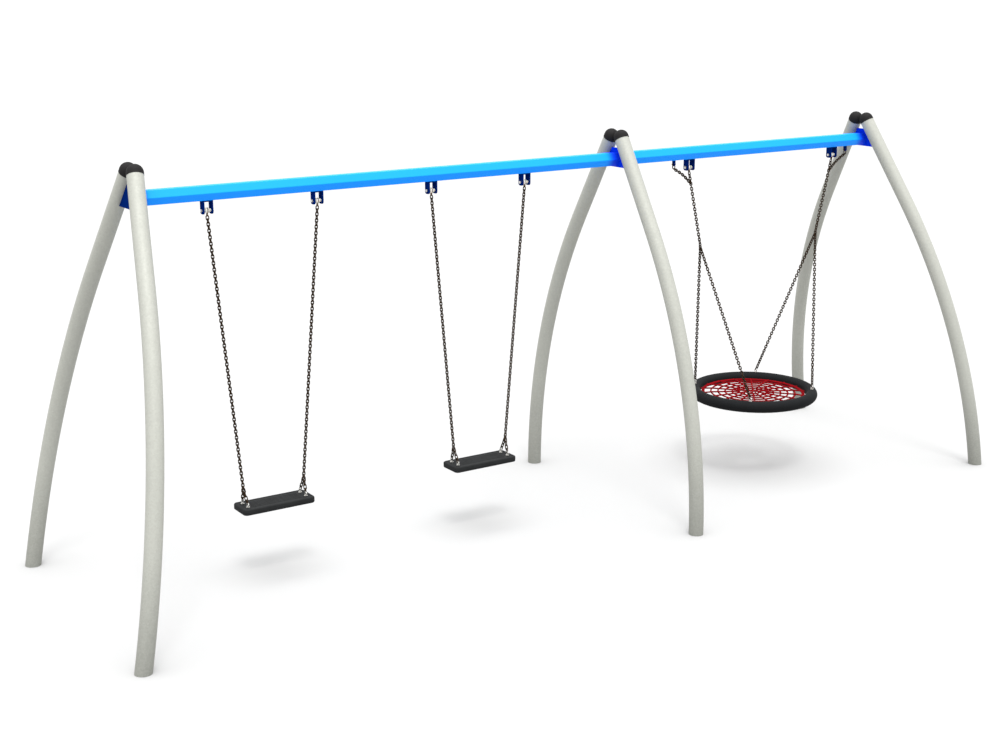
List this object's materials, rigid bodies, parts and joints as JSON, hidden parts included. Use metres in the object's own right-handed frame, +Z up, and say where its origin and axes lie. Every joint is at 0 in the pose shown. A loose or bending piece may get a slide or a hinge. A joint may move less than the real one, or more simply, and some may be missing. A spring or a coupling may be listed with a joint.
{
  "type": "swing set",
  "caption": "Free-standing swing set: bent-tube A-frames and a hexagonal beam carry flat rubber seats on chains and a round net basket swing.",
  "frame": {"origin": "on the ground, in the middle of the footprint of the six feet", "axes": "+X along the beam towards the basket bay, +Y to the back, +Z up"},
  "size_m": [6.9872, 2.0616, 2.7023],
  "materials": {
    "galvanised_tube": "hot-dip galvanised, satin with fine spangle",
    "black_cap_plastic": "moulded, fine grain",
    "blue_powder_coat": "smooth semi-gloss powder coat",
    "zinc_fasteners": "bright zinc",
    "bearing_nylon": "natural nylon",
    "strap_steel": "dark worn steel",
    "chain_steel": "dull galvanised short link",
    "seat_rubber": "moulded matt rubber",
    "seat_core_aluminium": "mill finish",
    "rim_rubber": "soft matt rubber",
    "rim_core_steel": "plain steel tube",
    "red_rope": "braided rope"
  },
  "bodies": {
    "frame": {"leg_left_front": "galvanised_tube", "leg_left_back": "galvanised_tube", "leg_middle_front": "galvanised_tube", "leg_middle_back": "galvanised_tube", "leg_right_front": "galvanised_tube", "leg_right_back": "galvanised_tube", "cap_left_front": "black_cap_plastic", "cap_left_back": "black_cap_plastic", "cap_middle_front": "black_cap_plastic", "cap_middle_back": "black_cap_plastic", "cap_right_front": "black_cap_plastic", "cap_right_back": "black_cap_plastic", "head_plate_left": "blue_powder_coat", "head_plate_middle": "blue_powder_coat", "head_plate_right": "blue_powder_coat", "beam_long": "blue_powder_coat", "beam_short": "blue_powder_coat", "bracket_swing_1_left": "blue_powder_coat", "bracket_swing_1_right": "blue_powder_coat", "bracket_swing_2_left": "blue_powder_coat", "bracket_swing_2_right": "blue_powder_coat", "bracket_basket_left": "blue_powder_coat", "bracket_basket_right": "blue_powder_coat", "hanger_bolts": "zinc_fasteners", "hanger_nuts": "zinc_fasteners", "safety_lugs": "blue_powder_coat", "safety_shackles": "chain_steel"},
    "swing_1": {"swing_1_bearings": "bearing_nylon", "swing_1_straps": "strap_steel", "swing_1_chain_left": "chain_steel", "swing_1_chain_right": "chain_steel"},
    "seat_1": {"seat_1_pad": "seat_rubber", "seat_1_core": "seat_core_aluminium", "seat_1_eyes": "zinc_fasteners", "seat_1_joiners": "chain_steel", "seat_1_branches_left": "chain_steel", "seat_1_branches_right": "chain_steel"},
    "swing_2": {"swing_2_bearings": "bearing_nylon", "swing_2_straps": "strap_steel", "swing_2_chain_left": "chain_steel", "swing_2_chain_right": "chain_steel"},
    "seat_2": {"seat_2_pad": "seat_rubber", "seat_2_core": "seat_core_aluminium", "seat_2_eyes": "zinc_fasteners", "seat_2_joiners": "chain_steel", "seat_2_branches_left": "chain_steel", "seat_2_branches_right": "chain_steel"},
    "basket_swing": {"basket_bearings": "bearing_nylon", "basket_straps": "strap_steel", "basket_chain_left": "chain_steel", "basket_chain_right": "chain_steel", "safety_chain_left": "chain_steel", "safety_chain_right": "chain_steel"},
    "basket": {"basket_rim": "rim_rubber", "basket_core": "rim_core_steel", "basket_net": "red_rope", "basket_eyes": "zinc_fasteners", "basket_joiners": "chain_steel", "basket_branches_left": "chain_steel", "basket_branches_right": "chain_steel"}
  },
  "joints": [
    {"name": "swing_1_pivot", "type": "hinge", "parent": "frame", "child": "swing_1", "pos_m": [-2.153, 0, 2.388], "axis": [1, 0, 0], "range_deg": [-60, 60]},
    {"name": "seat_1_tilt", "type": "hinge", "parent": "swing_1", "child": "seat_1", "pos_m": [-2.153, 0, 0.617], "axis": [1, 0, 0], "range_deg": [-25, 25]},
    {"name": "swing_2_pivot", "type": "hinge", "parent": "frame", "child": "swing_2", "pos_m": [-0.584, 0, 2.388], "axis": [1, 0, 0], "range_deg": [-60, 60]},
    {"name": "seat_2_tilt", "type": "hinge", "parent": "swing_2", "child": "seat_2", "pos_m": [-0.584, 0, 0.617], "axis": [1, 0, 0], "range_deg": [-25, 25]},
    {"name": "basket_pivot", "type": "hinge", "parent": "frame", "child": "basket_swing", "pos_m": [1.956, 0, 2.388], "axis": [1, 0, 0], "range_deg": [-60, 60]},
    {"name": "basket_tilt", "type": "hinge", "parent": "basket_swing", "child": "basket", "pos_m": [1.956, 0, 1.8], "axis": [1, 0, 0], "range_deg": [-20, 20]}
  ]
}
